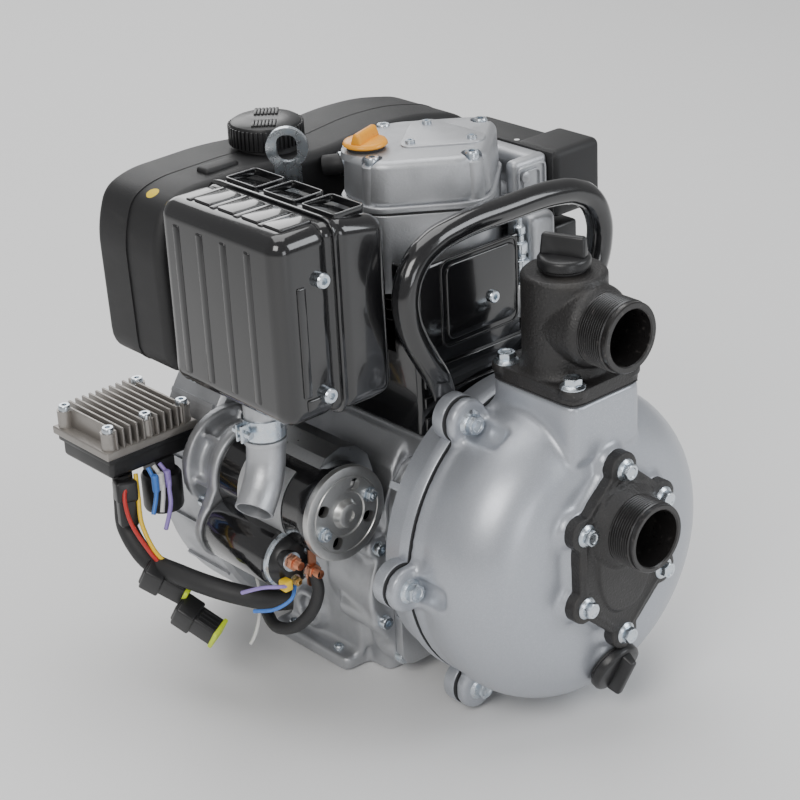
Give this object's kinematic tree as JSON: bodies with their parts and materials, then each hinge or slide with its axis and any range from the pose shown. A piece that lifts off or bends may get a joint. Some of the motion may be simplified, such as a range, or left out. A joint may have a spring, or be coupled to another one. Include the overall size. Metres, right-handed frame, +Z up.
{
  "type": "portable fire pump",
  "caption": "Single-cylinder air-cooled diesel engine with a close-coupled centrifugal fire pump, threaded suction and discharge ports, carry handle, tank and silencer.",
  "frame": {"origin": "on the flat base face of the crankcase, under the cylinder axis", "axes": "+Z up along the cylinder; the crankshaft lies along Y, with the pump and its suction port towards -Y and the flywheel towards +Y; the silencer and starter are on the -X side and the air cleaner is on the +X side"},
  "size_m": [0.42, 0.475, 0.4865],
  "materials": {
    "silver_paint": "satin",
    "gasket_paper": "matte",
    "black_cast_iron": "rough, semi-gloss",
    "flap_rubber": "matte",
    "black_plastic": "satin",
    "seal_rubber": "matte",
    "cast_iron": "matte",
    "machined_steel": "satin",
    "black_enamel": "gloss",
    "cast_aluminium": "cast, matte",
    "orange_plastic": "satin",
    "black_sheet": "satin",
    "tank_plastic": "grained",
    "satin_tube": "satin",
    "machined_plate": "machined",
    "zinc_plate": "zinc plated",
    "heatsink": "cast, matte",
    "loom_sleeve": "matte"
  },
  "bodies": {
    "frame": {"pump_casing": "silver_paint", "pump_adaptor": "silver_paint", "casing_gasket": "gasket_paper", "suction_gasket": "gasket_paper", "discharge_gasket": "gasket_paper", "suction_cover": "black_cast_iron", "discharge_elbow": "black_cast_iron", "volute": "cast_iron", "shaft_seal": "machined_steel", "carry_handle": "black_enamel", "crankcase": "cast_aluminium", "crankcase_cover": "cast_aluminium", "cylinder_barrel": "cast_iron", "cylinder_head": "cast_aluminium", "rocker_cover": "cast_aluminium", "cylinder_cowl": "black_sheet", "blower_housing": "cast_aluminium", "fuel_tank": "tank_plastic", "air_cleaner_base": "cast_aluminium", "air_cleaner_cover": "tank_plastic", "silencer": "black_enamel", "exhaust_elbow": "satin_tube", "starter_motor": "black_sheet", "starter_end_plate": "machined_plate", "solenoid": "black_plastic", "lifting_eye": "zinc_plate", "regulator": "heatsink", "harness_loom": "loom_sleeve", "casing_bolt_1": "zinc_plate", "casing_bolt_2": "zinc_plate", "casing_bolt_3": "zinc_plate", "casing_bolt_4": "zinc_plate", "casing_bolt_5": "zinc_plate", "casing_bolt_6": "zinc_plate", "suction_bolt_1": "zinc_plate", "suction_bolt_2": "zinc_plate", "suction_bolt_3": "zinc_plate", "suction_bolt_4": "zinc_plate", "suction_bolt_5": "zinc_plate", "suction_bolt_6": "zinc_plate", "discharge_bolt_1": "zinc_plate", "discharge_bolt_2": "zinc_plate", "discharge_bolt_3": "zinc_plate", "discharge_bolt_4": "zinc_plate"},
    "crankshaft": {"crankshaft_front": "machined_steel", "crankshaft_rear": "machined_steel", "flywheel_fan": "cast_iron", "impeller": "cast_iron"},
    "piston_and_rod": {"piston": "cast_aluminium", "connecting_rod": "machined_steel", "crank_pin": "machined_steel"},
    "starter_rotor": {"starter_armature": "machined_steel"},
    "flap": {"suction_flap": "flap_rubber"},
    "priming_ring": {"priming_cap_seal": "seal_rubber"},
    "priming_plug": {"priming_cap": "black_plastic"},
    "drain_ring": {"drain_cap_seal": "seal_rubber"},
    "drain_plug": {"drain_cap": "black_plastic"},
    "oil_ring": {"oil_cap_seal": "seal_rubber"},
    "oil_plug": {"oil_filler_cap": "orange_plastic"},
    "fuel_plug": {"fuel_cap": "black_plastic"}
  },
  "joints": [
    {"name": "crank_spin", "type": "hinge", "parent": "frame", "child": "crankshaft", "pos_m": [0, 0, 0.148], "axis": [0, 1, 0], "continuous": true},
    {"name": "piston_stroke", "type": "slide", "parent": "frame", "child": "piston_and_rod", "axis": [0, 0, -1], "range_m": [0, 0.076]},
    {"name": "starter_spin", "type": "hinge", "parent": "frame", "child": "starter_rotor", "pos_m": [-0.128, 0, 0.205], "axis": [0, 1, 0], "continuous": true},
    {"name": "flap_swing", "type": "hinge", "parent": "frame", "child": "flap", "pos_m": [0, -0.2046, 0.22], "axis": [1, 0, 0], "range_deg": [0, 50]},
    {"name": "priming_lift", "type": "slide", "parent": "frame", "child": "priming_ring", "axis": [0, 0, 1], "range_m": [0, 0.009]},
    {"name": "priming_turn", "type": "hinge", "parent": "priming_ring", "child": "priming_plug", "pos_m": [0, -0.155, 0.394], "axis": [0, 0, 1], "range_deg": [0, 1080]},
    {"name": "drain_lift", "type": "slide", "parent": "frame", "child": "drain_ring", "axis": [0, -0.9063, -0.4226], "range_m": [0, 0.012]},
    {"name": "drain_turn", "type": "hinge", "parent": "drain_ring", "child": "drain_plug", "pos_m": [0, -0.201, 0.053], "axis": [0, -0.9063, -0.4226], "range_deg": [0, 1440]},
    {"name": "oil_lift", "type": "slide", "parent": "frame", "child": "oil_ring", "axis": [0, 0, 1], "range_m": [0, 0.009]},
    {"name": "oil_turn", "type": "hinge", "parent": "oil_ring", "child": "oil_plug", "pos_m": [-0.05, 0.02, 0.4685], "axis": [0, 0, 1], "range_deg": [0, 1080]},
    {"name": "fuel_cap_turn", "type": "hinge", "parent": "frame", "child": "fuel_plug", "pos_m": [-0.068, 0.128, 0.456], "axis": [0, 0, 1], "range_deg": [0, 90]}
  ],
  "couplings": [
    {"joint": "priming_turn", "follows": "priming_lift", "rad_per_m": 2094.4},
    {"joint": "drain_turn", "follows": "drain_lift", "rad_per_m": 2094.4},
    {"joint": "oil_turn", "follows": "oil_lift", "rad_per_m": 2094.4}
  ]
}
